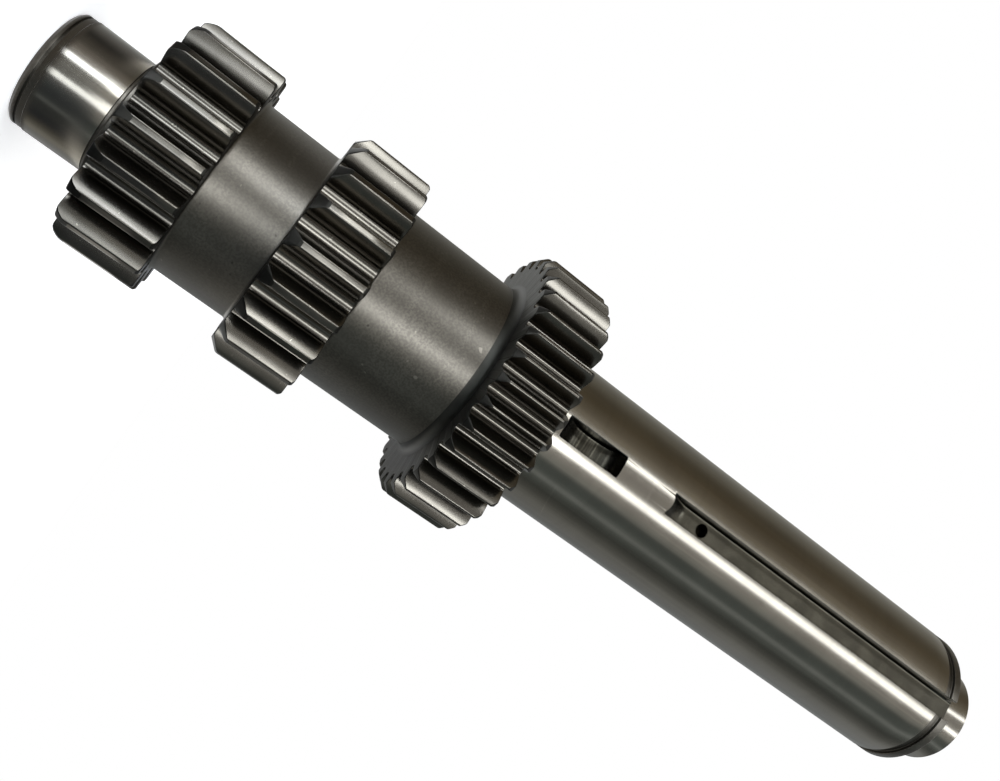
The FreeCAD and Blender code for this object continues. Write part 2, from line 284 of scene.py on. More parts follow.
def rounded_path(corners, steps):
    """Points of a path whose corners are rounded.

    A corner is (x, y, radius). The arc touches both sides at radius / tan(half the inner
    angle) from the corner, and a side that is shorter than that shortens the arc.
    """
    path = np.array([corner[:2] for corner in corners], float)
    points = [path[0]]
    for index in range(1, len(path) - 1):
        here, radius = path[index], corners[index][2]
        back, ahead = path[index - 1] - here, path[index + 1] - here
        length = min(np.linalg.norm(back), np.linalg.norm(ahead))
        back, ahead = back / np.linalg.norm(back), ahead / np.linalg.norm(ahead)
        half = math.acos(np.clip(back @ ahead, -1, 1)) / 2
        if radius <= 0 or abs(half - math.pi / 2) < 1e-6:
            points.append(here)
            continue
        reach = min(radius / math.tan(half), length)
        radius = reach * math.tan(half)
        middle = back + ahead
        centre = here + middle / np.linalg.norm(middle) * radius / math.sin(half)
        start, end = here + back * reach - centre, here + ahead * reach - centre
        turn = math.pi - 2 * half
        share = np.linspace(0, 1, steps)[:, None]
        arc = (start * np.sin((1 - share) * turn) + end * np.sin(share * turn)) / math.sin(turn)
        points.extend(centre + arc)
    points.append(path[-1])
    return np.array(points)


def shaft_corners(sizes):
    """The half section of the turned shaft, as (radius, station, rounding) in millimetres."""
    edge = sizes.edge_break / MM
    journal, seat = sizes.journal / MM, sizes.seat / MM
    first, second = sizes.first_collar / MM, sizes.second_collar / MM
    fillet, web = sizes.corner_radius / MM, sizes.web_radius / MM
    band, score, relief, shoulder = journal - 0.3, journal - 1.1, journal - 0.5, 31
    mouth, pilot, cone, depth = 6.25, 2.5, 6.5, 13
    chamfer, small = 1.4, edge / 2
    one, two, three = (GEARS[name] for name in GEARS)
    return [
        (0, depth, 0), (pilot, depth, 0), (pilot, cone, 0), (mouth, 0, small),
        (band - chamfer, 0, small), (band, chamfer, small),
        (band, 2.6, 0.1), (score, 2.6, 0), (score, 3.5, 0), (band, 3.5, 0.1),
        (band, 5.7, 0), (journal, 5.7 + 0.3, 0), (journal, 30.2, small), (relief, 30.2, small),
        (relief, 32.4, small), (shoulder - 0.6, 32.4, small), (shoulder, 33, small),
        (shoulder, one["start"], fillet), (shoulder + fillet, one["start"], 0),
        (shoulder + fillet, 60, 0), (first + fillet, 60, 0),
        (first + fillet, one["end"], 0), (first, one["end"], fillet),
        (first, two["start"], fillet), (first + fillet, two["start"], 0),
        (first + fillet, 125, 0), (second + fillet, 125, 0),
        (second + fillet, two["end"], 0), (second, two["end"], fillet),
        (second, three["start"], web), (second + web, three["start"], 0),
        (second + web, 210, 0), (seat + fillet, 210, 0),
        (seat + fillet, three["end"], 0), (seat, three["end"], fillet),
        (seat, 475, edge), (seat - 1.6, 475, edge), (seat - 1.6, 479.3, edge),
        (seat, 479.3, edge), (seat, 483.5, edge), (27.5, 483.5, edge),
        (27.5, 487.8, edge), (journal, 487.8, edge), (journal, LENGTH - chamfer, small),
        (journal - chamfer, LENGTH, small), (mouth, LENGTH, small), (pilot, LENGTH - cone, 0),
        (pilot, LENGTH - depth, 0), (0, LENGTH - depth, 0),
    ]


def arc_stations(middle, cutter, rise, count):
    """Stations along the pit that a disc leaves: its floor falls by rise at the middle."""
    widest = math.acos(1 - rise / cutter)
    turns = np.linspace(-widest, widest, count)
    return middle + cutter * np.sin(turns)


def shaft_rows(sizes, slots):
    """Radius and station of every row of the shaft's grid, with the rows that the slots need."""
    path = rounded_path(shaft_corners(sizes), 5)
    seat = sizes.seat / MM
    cutter, middle = slots.cutter / MM, slots.short_middle / MM
    pit = slot_middle(sizes, slots) / MM
    short = arc_stations(middle, cutter, seat - slots.short_floor / MM, 41)
    long = arc_stations(pit, cutter, seat - slots.long_floor / MM, 35)
    long = long[long <= pit + 1e-6]
    lip = seat - math.sqrt(seat ** 2 - (slots.half_width / MM) ** 2)
    ends = [
        arc_stations(middle, cutter, seat - lip - slots.short_floor / MM, 2),
        arc_stations(pit, cutter, seat - lip - slots.long_floor / MM, 2)[:1],
    ]
    pin, block = slots.pin_station / MM, PIN_BLOCK / MM
    hole = pin + np.linspace(-block, block, PIN_SIDE)
    plain = np.linspace(short[-1], long[0], 4)[1:-1]
    steady = np.arange(345, 470, 20)
    stations = np.unique(np.concatenate([short, long, hole, plain, *ends, steady]))
    longest = np.argmax(np.linalg.norm(np.diff(path, axis=0), axis=1))
    extra = np.stack([np.full(len(stations), seat), stations], axis=1)
    path = np.concatenate([path[:longest + 1], extra, path[longest + 1:]])
    return path[:, 0] * MM, path[:, 1] * MM


# The pin hole's block of the slot's floor: cells from its middle to its border, points along a
# side, the shell at the wall's top, and half its length along the shaft. The inner shells are the
# hole, the outer ones lead to the floor.
PIN_SHELLS = 8
PIN_SIDE = 2 * PIN_SHELLS + 1
PIN_WALL_SHELL = 5
PIN_BLOCK = 5 * MM


def slot_middle(sizes, slots):
    """Station of the cutter's axis at the long slot's closed end.

    The pit starts where the disc, whose axis stands over the floor by its own radius, meets
    the seat's surface: half the chord at that depth before the axis.
    """
    depth = sizes.seat - slots.long_floor
    return slots.long_start + math.sqrt(depth * (2 * slots.cutter - depth))


def floor_height(stations, sizes, slots):
    """Height of the slots' floors over the axis at each station, or infinity with no slot."""
    def pit(middle, floor):
        inside = np.abs(stations - middle) < slots.cutter
        drop = np.sqrt(np.where(inside, slots.cutter ** 2 - (stations - middle) ** 2, 0))
        return np.where(inside, floor + slots.cutter - drop, np.inf)

    middle = slot_middle(sizes, slots)
    long = np.where(stations > middle, slots.long_floor, pit(middle, slots.long_floor))
    height = np.minimum(long, pit(slots.short_middle, slots.short_floor))
    return np.where(stations > GEARS["third_gear"]["end"] * MM, height, np.inf)


def slot_columns(slots):
    """Place across the slot and height over the floor of the slot's columns, left to right.

    A wall has a top, a middle and a foot at the same place across. From its foot a quarter
    circle runs down to the floor. The top gets its height from the seat, so it says infinity.
    """
    half, corner = slots.half_width, slots.corner
    turn = np.linspace(0, math.pi / 2, 7)
    bend = np.stack([half - corner + corner * np.cos(turn), corner * (1 - np.sin(turn))], axis=1)
    wall = np.array([[half, np.inf], [half, 3 * corner]])
    floor_across = np.linspace(half - corner, corner - half, PIN_SIDE)
    floor = np.stack([floor_across, np.zeros(len(floor_across))], axis=1)
    right = np.concatenate([wall, bend[:-1]])
    left = right[::-1] * (-1, 1)
    return np.concatenate([right, floor, left])[::-1]


def shaft_points(sizes, slots, around=300):
    """Points of the shaft's grid: rows along the half section, columns round the axis.

    A row is the circle of its radius, apart from the columns across the slots. There each
    point has a fixed place across and lies on the circle or on the slot, whichever is lower.
    Near the ends, where the circle is narrower than a slot, the columns move together.
    """
    radius, station = shaft_rows(sizes, slots)
    edge = sizes.edge_break
    squeeze = np.minimum(1, radius / THIN)
    start = np.arcsin(np.clip((slots.half_width + edge) * squeeze / np.maximum(radius, 1e-9), 0, 1))
    start = np.where(radius > 1e-9, start, math.asin(slots.half_width / THIN))
    share = np.linspace(0, 1, around)[None, :]
    angle = start[:, None] + (2 * math.pi - 2 * start[:, None]) * share
    ring = np.stack([radius[:, None] * np.sin(angle), -radius[:, None] * np.cos(angle)], axis=-1)

    columns = slot_columns(slots)
    across = columns[:, 0][None, :] * squeeze[:, None]
    surface = np.sqrt(np.maximum(radius[:, None] ** 2 - across ** 2, 0))
    floor = floor_height(station, sizes, slots)[:, None]
    lip = np.sqrt(np.maximum(radius ** 2 - slots.half_width ** 2, 0))[:, None]
    depth = np.maximum(lip - floor, 0)
    rise = np.where(np.isinf(columns[:, 1]), 1e3, columns[:, 1])[None, :]
    top = np.isinf(columns[:, 1])[None, :]
    height = np.where(top, surface - np.minimum(edge, depth / 2), np.minimum(surface, floor + rise))
    middle = np.isclose(columns[:, 1], 3 * slots.corner)[None, :]
    height = np.where(middle, np.minimum(height, surface - np.minimum(edge, depth)), height)
    slot = np.stack([across, -height], axis=-1)
    flat = np.concatenate([ring, slot], axis=1)
    along = np.repeat(station[:, None], flat.shape[1], axis=1)
    bow = slots.bow * (1 - (across / slots.half_width) ** 2)
    start, middle = slots.long_start, slot_middle(sizes, slots)
    near_end = np.interp(station, [start - 8 * MM, start, middle - 6 * MM, middle], [0, 1, 1, 0])
    along[:, around:] += bow * near_end[:, None]
    points = np.concatenate([flat, along[..., None]], axis=-1)
    first = around + (len(columns) - PIN_SIDE) // 2
    drill_pin_hole(points, station, first, slots)
    return points, around


def drill_pin_hole(points, station, first, slots):
    """Bend the shells of a square block of the floor's grid into circles round the pin hole.

    A shell is the ring of points that are the same number of cells from the middle. From the
    wall's shell outwards, a point moves in a straight line from the circle at its own angle to
    its place in the grid. Inside, the shells are the wall's foot and the cone at the bottom.
    """
    row = int(np.argmin(np.abs(station - (slots.pin_station - PIN_BLOCK))))
    block = points[row:row + PIN_SIDE, first:first + PIN_SIDE]
    down, across = np.indices((PIN_SIDE, PIN_SIDE)) - PIN_SHELLS
    shell = np.maximum(np.abs(down), np.abs(across))
    angle = np.arctan2(down, across)
    circle = np.stack([np.cos(angle) * np.sign(points[row, first + 1, 0] - points[row, first, 0]),
                       np.sin(angle)], axis=-1)
    shells = [0, PIN_WALL_SHELL - 1, PIN_WALL_SHELL, PIN_WALL_SHELL + 1]
    radius = np.interp(shell, shells,
                       [0, slots.pin_radius, slots.pin_radius, slots.pin_radius + 0.15 * MM])
    cone = slots.pin_radius * math.tan(math.radians(31))
    deep = np.interp(shell, shells, [slots.pin_depth + cone, slots.pin_depth, 0.25 * MM, 0])
    lead = np.interp(shell, [PIN_WALL_SHELL + 1, PIN_SHELLS], [0, 1])[..., None]
    place_in_grid = block[..., [0, 2]] - (0, slots.pin_station)
    moved = circle * radius[..., None] * (1 - lead) + place_in_grid * lead
    block[..., 0] = moved[..., 0]
    block[..., 2] = moved[..., 1] + slots.pin_station
    block[..., 1] += deep


def shaft_finishes(points, around):
    """Which material each face of the shaft's grid has: ground, turned, milled or faced; the faced
    steel takes the dark sides' colour as painted shade in the fillet before the third gear.
    """
    radius = np.hypot(points[:, 0, 0], points[:, 0, 1])
    station = points[:, 0, 2] / MM
    middle = (station[1:] + station[:-1]) / 2
    level = np.abs(np.diff(radius)) < 1e-6
    journal = (middle > 3.5) & (middle < 30.3) & level
    seat = (middle > 230) & (middle < 475.1) & level
    stub = (middle > 487.9) & (middle < LENGTH - 1) & level
    # The fillet before the third gear is darkened as painted shade in its crease.
    web = (middle > 189) & (middle < 230)
    row = np.select([journal | seat | stub, web], [0, 3], 1)
    finish = np.repeat(row[:, None], points.shape[1], axis=1)
    floor = points[:, around:, 1]
    surface = np.sqrt(np.maximum(radius[:, None] ** 2 - points[:, around:, 0] ** 2, 0))
    cut = -floor < surface - 0.02 * MM
    slot = cut[1:, 1:] | cut[:-1, 1:] | cut[1:, :-1] | cut[:-1, :-1]
    finish[:, around:-1] = np.where(slot, 2, finish[:, around:-1])
    return finish.reshape(-1)


def tooth_space(figures):
    """Half a tooth space, as radii and angles from its middle to the middle of the next tooth.

    The bottom is an arc that passes the root and both feet. A straight side runs from a foot to
    the form radius, and from there the flank is an involute: at radius r the tooth's half
    angle is its half land at the tip plus the involute function at the tip less that at r.
    """
    tip, form, root = figures["tip"], figures["form"], figures["root"]
    pitch = math.pi / figures["teeth"]
    base = figures["module"] * figures["teeth"] / 2
    base *= math.cos(math.radians(figures["pressure_angle"]))

    def involute(radius):
        angle = np.arccos(np.minimum(base / radius, 1))
        return np.tan(angle) - angle

    def half_space(radius):
        half_land = figures["land"] / 2 / tip
        return pitch - half_land - (involute(tip) - involute(radius))

    flank = np.linspace(form, tip - TIP_EDGE, 9)
    foot = (form * math.sin(half_space(form)), figures["foot"])
    rise = foot[1] - root
    bend = (foot[0] ** 2 + rise ** 2) / (2 * rise)
    turn = np.linspace(0, math.asin(foot[0] / bend), 8)
    bottom = np.stack([bend * np.sin(turn), root + bend - bend * np.cos(turn)], axis=1)
    bottom_radius = np.hypot(bottom[:, 0], bottom[:, 1])
    bottom_angle = np.arctan2(bottom[:, 0], bottom[:, 1])

    before = (tip - TIP_EDGE, half_space(tip - TIP_EDGE))
    after = (tip, half_space(tip) + TIP_EDGE / tip)
    share = np.linspace(0, 1, 5)[1:]
    blend = (1 - share) ** 2, 2 * share * (1 - share), share ** 2
    round_radius = blend[0] * before[0] + (blend[1] + blend[2]) * tip
    round_angle = blend[0] * before[1] + blend[1] * half_space(tip) + blend[2] * after[1]
    land = np.linspace(after[1], pitch, 3)[1:]
    radius = np.concatenate([bottom_radius, flank, round_radius, np.full(2, tip)])
    angle = np.concatenate([bottom_angle, half_space(flank), round_angle, land])
    return radius, angle


def gear_outline(figures):
    """Radius and angle of every point round the gear, with a tooth space in the middle of -Y."""
    radius, angle = tooth_space(figures)
    radius = np.concatenate([radius[::-1], radius[1:-1]])
    angle = np.concatenate([-angle[::-1], angle[1:-1]])
    turns = 2 * math.pi / figures["teeth"] * np.arange(figures["teeth"])
    return np.tile(radius, figures["teeth"]), (turns[:, None] + angle[None, :]).ravel()


def inward(radius, angle, distance):
    """The closed outline moved into the metal by a distance, square to itself."""
    place_at = np.stack([radius * np.sin(angle), -radius * np.cos(angle)], axis=1)
    along = np.roll(place_at, -1, axis=0) - np.roll(place_at, 1, axis=0)
    along /= np.linalg.norm(along, axis=1)[:, None]
    moved = place_at + distance * np.stack([-along[:, 1], along[:, 0]], axis=1)
    return np.hypot(moved[:, 0], moved[:, 1]), np.arctan2(moved[:, 0], -moved[:, 1])


def side_profile(figures, face, chamfer, drop, rounding):
    """The side of a gear as radius and station, from the bore over the chamfer to the tips.

    It is straight up to the chamfer, which runs from the drop below the tips to the tips, and it
    is rounded where the chamfer meets the side and where it meets the tips.
    """
    tip, reach = figures["tip"], 2.5 * chamfer
    corners = [(figures["bore"], face), (tip - drop, face, rounding / 4),
               (tip, face + chamfer, rounding), (tip, face + reach)]
    return rounded_path(corners, 6)[:-1]


def gear_points(figures):
    """Points of a gear's grid: rows from its bore out over one side, the teeth and back.

    The outline's points run along the side's profile: each row of a side is the outline cut off
    at one of the profile's radii. Each row has one point for every outline point.
    """
    radius, angle = gear_outline(figures)
    inner, inner_angle = inward(radius, angle, END_EDGE)

    def side_rows(face, chamfer, drop, rounding):
        profile = side_profile(figures, face, chamfer, drop, rounding)

        def station(reach):
            return np.interp(reach, profile[:, 0], profile[:, 1])

        rows = [(np.minimum(inner, reach), inner_angle) for reach in profile[:, 0]]
        rows = [(reach, turn, station(reach)) for reach, turn in rows]
        return rows, station(radius) + math.copysign(END_EDGE, chamfer)

    tail = figures["tail"]
    front_rows, front = side_rows(figures["start"], figures["lead"], figures["lead_drop"],
                                  figures["lead_rounding"])
    rear_rows, rear = side_rows(figures["end"], -tail, tail, figures["tail_rounding"])
    teeth = [(radius, angle, front + (rear - front) * share) for share in (0, 1 / 3, 2 / 3, 1)]
    rows = front_rows + teeth + rear_rows[::-1]
    points = np.stack([np.stack([r * np.sin(a), -r * np.cos(a), z], -1) for r, a, z in rows])
    finish = np.ones(len(rows), int)
    finish[1:len(front_rows)] = finish[-len(rear_rows) - 1:-1] = 2
    finish[len(front_rows):len(front_rows) + 3] = 0
    return points * MM, np.repeat(finish, len(radius))


# Materials: shader maths is written as expressions on sockets.


class Term:
    """A socket in a maths expression. Each operator adds one Math node."""

    def __init__(self, shader, socket):
        self.shader = shader
        self.socket = socket

    def maths(self, operation, *terms):
        settings = {"operation": operation}
        return self.shader.node("ShaderNodeMath", settings, dict(enumerate(terms)))

    def __add__(self, other):
        return self.maths("ADD", self, other)

    def __radd__(self, other):
        return self.maths("ADD", other, self)

    def __sub__(self, other):
        return self.maths("SUBTRACT", self, other)

    def __rsub__(self, other):
        return self.maths("SUBTRACT", other, self)

    def __mul__(self, other):
        return self.maths("MULTIPLY", self, other)

    def __truediv__(self, other):
        return self.maths("DIVIDE", self, other)

    def step(self, low, high):
        """0 below low, 1 above high and a smooth rise between them."""
        settings = {"interpolation_type": "SMOOTHSTEP"}
        inputs = {"Value": self, "From Min": low, "From Max": high}
        return self.shader.node("ShaderNodeMapRange", settings, inputs)


class Shader:
    """The nodes of one metal, which reads the object's own coordinates."""

    def __init__(self, name):
        self.material = bpy.data.materials.new(name)
        self.material.use_nodes = True
        self.tree = self.material.node_tree
        self.surface = self.tree.nodes["Principled BSDF"]
        self.place = self.node("ShaderNodeTexCoord", {}, {}, output="Object")
        self.x, self.y, self.z = (
            self.node("ShaderNodeSeparateXYZ", {}, {0: self.place}, output=axis) for axis in "XYZ"
        )

    def node(self, kind, settings, inputs, output=0):
        """Add a node, with its settings first, then the values or links of its sockets."""
        node = self.tree.nodes.new(kind)
        for name, value in settings.items():
            setattr(node, name, value)
        for key, value in inputs.items():
            if isinstance(value, Term):
                self.tree.links.new(value.socket, node.inputs[key])
            else:
                node.inputs[key].default_value = value
        return Term(self, node.outputs[output])

    def metal(self, colour, roughness, normal):
        """Link the surface of a bare metal and return its material."""
        for name, term in {"Base Color": colour, "Roughness": roughness, "Normal": normal}.items():
            self.tree.links.new(term.socket, self.surface.inputs[name])
        self.surface.inputs["Metallic"].default_value = 1
        return self.material

    def point(self, x, y, z):
        return self.node("ShaderNodeCombineXYZ", {}, {0: x, 1: y, 2: z})

    def noise(self, where, scale, detail=3.0, roughness=0.5, distortion=0.0):
        """Smooth noise around one half."""
        inputs = {"Vector": where, "Scale": scale, "Detail": detail,
                  "Roughness": roughness, "Distortion": distortion}
        return self.node("ShaderNodeTexNoise", {}, inputs)

    def mix(self, share, first, second):
        """A colour from first to second as share goes from 0 to 1."""
        def four(colour):
            return colour if isinstance(colour, Term) else (*colour, 1)

        inputs = {0: share, 6: four(first), 7: four(second)}
        return self.node("ShaderNodeMix", {"data_type": "RGBA"}, inputs, output=2)

    def bump(self, height, distance):
        inputs = {"Strength": 1.0, "Distance": distance, "Height": height}
        return self.node("ShaderNodeBump", {}, inputs)

    def radius(self):
        """Distance from the shaft's axis."""
        square = self.x * self.x + self.y * self.y
        return square.maths("SQRT", square)

    def turning_marks(self, pitch, wander=14.0):
        """Fine lines round the axis, about a pitch apart, that fade in and out as they go."""
        where = self.point(self.x * wander, self.y * wander, self.z / pitch)
        return self.noise(where, 1.0, detail=2.0)


def scaled(colour, factor):
    return tuple(min(1.0, channel * factor) for channel in colour)


def ground_steel(name, colour):
    """Bright ground steel under a thin film of oil: rings, long rubs that are partly painted
    reflection streaks, stains, hair scratches.
    """
    shader = Shader(name)
    rubs_and_painted_streaks = shader.noise(shader.point(shader.x * 700, shader.y * 700, shader.z * 9), 1.0)
    rings = shader.turning_marks(0.5 * MM)
    bands = shader.turning_marks(3.5 * MM, wander=5.0)
    stains = shader.noise(shader.place, 34.0, detail=4.0, distortion=0.6)
    base = shader.mix(stains.step(0.3, 0.7), scaled(colour, 0.93), scaled(colour, 1.07))
    base = shader.mix(bands.step(0.5, 0.7) * 0.25, base, scaled(colour, 0.8))
    # The pale streaks along the axis are partly polishing rubs and partly a painted reflection.
    base = shader.mix(rubs_and_painted_streaks.step(0.5, 0.75) * 0.3, base, scaled(colour, 1.4))
    hairs = hair_scratches(shader, 26.0)
    base = shader.mix(hairs * 0.35, base, scaled(colour, 1.7))
    rough = 0.13 + rings * 0.02 + bands * 0.02 + stains * 0.02
    return shader.metal(base, rough, shader.bump(rings + hairs * 0.8, 0.0012 * MM))


def hair_scratches(shader, scale):
    """Long thin marks that cross the rings at a slant: the borders of stretched cells."""
    where = shader.point(shader.x * 0.35 + shader.z * 0.12, shader.y * 0.4, shader.z * 0.8)
    warp = shader.noise(shader.place, 9.0, detail=2.0) * 0.012
    settings = {"feature": "DISTANCE_TO_EDGE", "voronoi_dimensions": "3D"}
    offset = shader.node("ShaderNodeVectorMath", {"operation": "ADD"},
                         {0: where, 1: shader.point(warp, warp, warp * 2)})
    cells = shader.node("ShaderNodeTexVoronoi", settings, {"Vector": offset, "Scale": scale})
    line = 1 - cells.step(0.0, 0.005)
    here = shader.noise(shader.place, 22.0, detail=1.0).step(0.6, 0.68)
    return line * here


def turned_steel(name, colour):
    """Satin turned steel, dark with oil, with feed lines, a fine grain and specks."""
    shader = Shader(name)
    feed = shader.turning_marks(0.6 * MM, wander=9.0)
    wide = shader.turning_marks(5.0 * MM, wander=4.0)
    stains = shader.noise(shader.place, 42.0, detail=5.0, roughness=0.6)
    base = shader.mix(stains.step(0.3, 0.72), scaled(colour, 0.88), scaled(colour, 1.12))
    base = shader.mix(wide.step(0.56, 0.7) * 0.3, base, scaled(colour, 1.35))
    grain = shader.noise(shader.place, 1100.0, detail=2.0)
    base = shader.mix(grain.step(0.35, 0.65), scaled(colour, 0.8), base)
    specks = shader.noise(shader.place, 260.0, detail=1.0)
    base = shader.mix(specks.step(0.75, 0.8) * 0.6, base, scaled(colour, 2.2))
    base = shader.mix((1 - specks).step(0.75, 0.8) * 0.7, base, scaled(colour, 0.3))
    rough = 0.28 + feed * 0.04 + stains * 0.06
    return shader.metal(base, rough, shader.bump(feed + wide * 0.3 + grain * 2, 0.003 * MM))


def milled_steel(name, colour):
    """Slots: cutter marks across the shaft; the short one is darker and its marks show more."""
    shader = Shader(name)
    where = shader.point(shader.x * 25, shader.y * 12, shader.z / (1.1 * MM))
    marks = shader.noise(where, 1.0, detail=2.0)
    stains = shader.noise(shader.place, 120.0, detail=4.0)
    base = shader.mix(stains.step(0.3, 0.7), scaled(colour, 0.8), scaled(colour, 1.2))
    base = shader.mix(marks.step(0.55, 0.75) * 0.2, base, scaled(colour, 1.4))
    short = 1 - shader.z.step(BETWEEN_SLOTS, BETWEEN_SLOTS + 10 * MM)
    base = shader.mix(short * 0.75, base, scaled(colour, 0.25))
    base = shader.mix(short * marks.step(0.5, 0.62) * 0.6, base, scaled(colour, 1.5))
    rough = 0.19 + marks * 0.04 + stains * 0.05
    return shader.metal(base, rough, shader.bump(marks, 0.003 * MM))


def tooth_steel(name, colour):
    """Tooth steel with an oily sheen: marks along the teeth, small bright nicks."""
    shader = Shader(name)
    stains = shader.noise(shader.place, 60.0, detail=5.0, roughness=0.6)
    marks = shader.noise(shader.point(shader.x * 900, shader.y * 900, shader.z * 60), 1.0)
    nicks = shader.noise(shader.place, 520.0, detail=1.0).step(0.74, 0.77)
    base = shader.mix(stains.step(0.3, 0.7), scaled(colour, 0.88), scaled(colour, 1.12))
    base = shader.mix(nicks * 0.6, base, scaled(colour, 2.2))
    rough = 0.17 + stains * 0.05 + marks * 0.02
    return shader.metal(base, rough, shader.bump(marks * 0.03 - nicks, 0.006 * MM))


def faced_steel(name, colour):
    """Sides and chamfers of a gear: duller turned steel with rings round the axis."""
    shader = Shader(name)
    reach = shader.radius()
    turns = shader.noise(shader.point(reach / (0.35 * MM), 0, 0), 1.0, detail=1.0)
    stains = shader.noise(shader.place, 75.0, detail=5.0, roughness=0.6)
    base = shader.mix(stains.step(0.3, 0.7), scaled(colour, 0.85), scaled(colour, 1.15))
    base = shader.mix(turns.step(0.55, 0.75) * 0.3, base, scaled(colour, 1.4))
    rough = 0.36 + turns * 0.06 + stains * 0.08
    return shader.metal(base, rough, shader.bump(turns, 0.006 * MM))


# Operators: one for the turned shaft, one for a gear and one for the stage.


class CountershaftTurned(Operator):
    """Add the turned and ground shaft with its key slots and its pin hole."""

    bl_idname = "countershaft.add_turned"
    bl_label = "Add turned shaft"

    def execute(self, context):
        sizes, slots = context.scene.turned_sizes, context.scene.slot_sizes
        colours = context.scene.finishes
        points, around = shaft_points(sizes, slots)
        finishes = shaft_finishes(points, around)
        materials = [
            ground_steel("ground_steel", colours.ground),
            turned_steel("turned_steel", colours.collar),
            milled_steel("milled_steel", colours.slot),
            # The web steel takes the dark sides' colour: painted shade in the fillet before the
            # third gear.
            faced_steel("web_steel", colours.side),
        ]
        add_piece("turned_shaft", points, False, finishes, materials)
        return {"FINISHED"}


class CountershaftGear(Operator):
    """Add one spur gear of the forging."""

    bl_idname = "countershaft.add_gear"
    bl_label = "Add gear"

    gear: StringProperty(name="Gear", description="Which of the three gears", default="first_gear")

    def execute(self, context):
        figures = GEARS[self.gear]
        colours = context.scene.finishes
        points, finishes = gear_points(figures)
        materials = [
            tooth_steel(self.gear + "_teeth", colours.tooth),
            # The sides' colour is scaled per gear as painted shade.
            faced_steel(self.gear + "_sides", scaled(colours.side, figures["side_painted_shade"])),
            # The chamfers' near-black colour is painted shade.
            faced_steel(self.gear + "_chamfers", colours.chamfer),
        ]
        add_piece(self.gear, points, True, finishes, materials)
        return {"FINISHED"}


class CountershaftStage(Operator):
    """Add the floor, the soft studio light and the camera."""

    bl_idname = "countershaft.add_stage"
    bl_label = "Add stage"

    def execute(self, context):
        studio = context.scene.studio
        add_floor(studio)
        add_world(context.scene)
        for name, bar in LIGHT_BARS.items():
            add_light_bar(name, *bar)
        for name, card in CARDS.items():
            add_card(name, camera=studio.around, **card)
        add_camera(context.scene, studio)
        context.scene.view_settings.view_transform = "Standard"
        return {"FINISHED"}


# The light bars stand upright round the shaft. Each has its azimuth, measured as the camera's is,
# the height of its foot, its width and its length in metres, and its radiance, which is how bright
# it looks.
LIGHT_BARS = {
    "front_bar_low": (12, 0, 0.4, 0.25, 8),
    "front_bar_middle": (15.2, 0.25, 0.25, 0.5, 16),
    "front_bar_high": (15.2, 0.75, 0.25, 2.3, 8),
    "left_bar_foot": (-22, 0, 0.3, 0.08, 17),
    "left_bar_low": (-28.5, 0.08, 0.36, 0.17, 16),
    "left_bar_middle": (-25.6, 0.25, 0.19, 0.5, 4),
    "left_bar_high": (-25.6, 0.75, 0.18, 2.3, 9),
    "rear_bar": (-172, 0, 0.16, 3, 1.1),
}

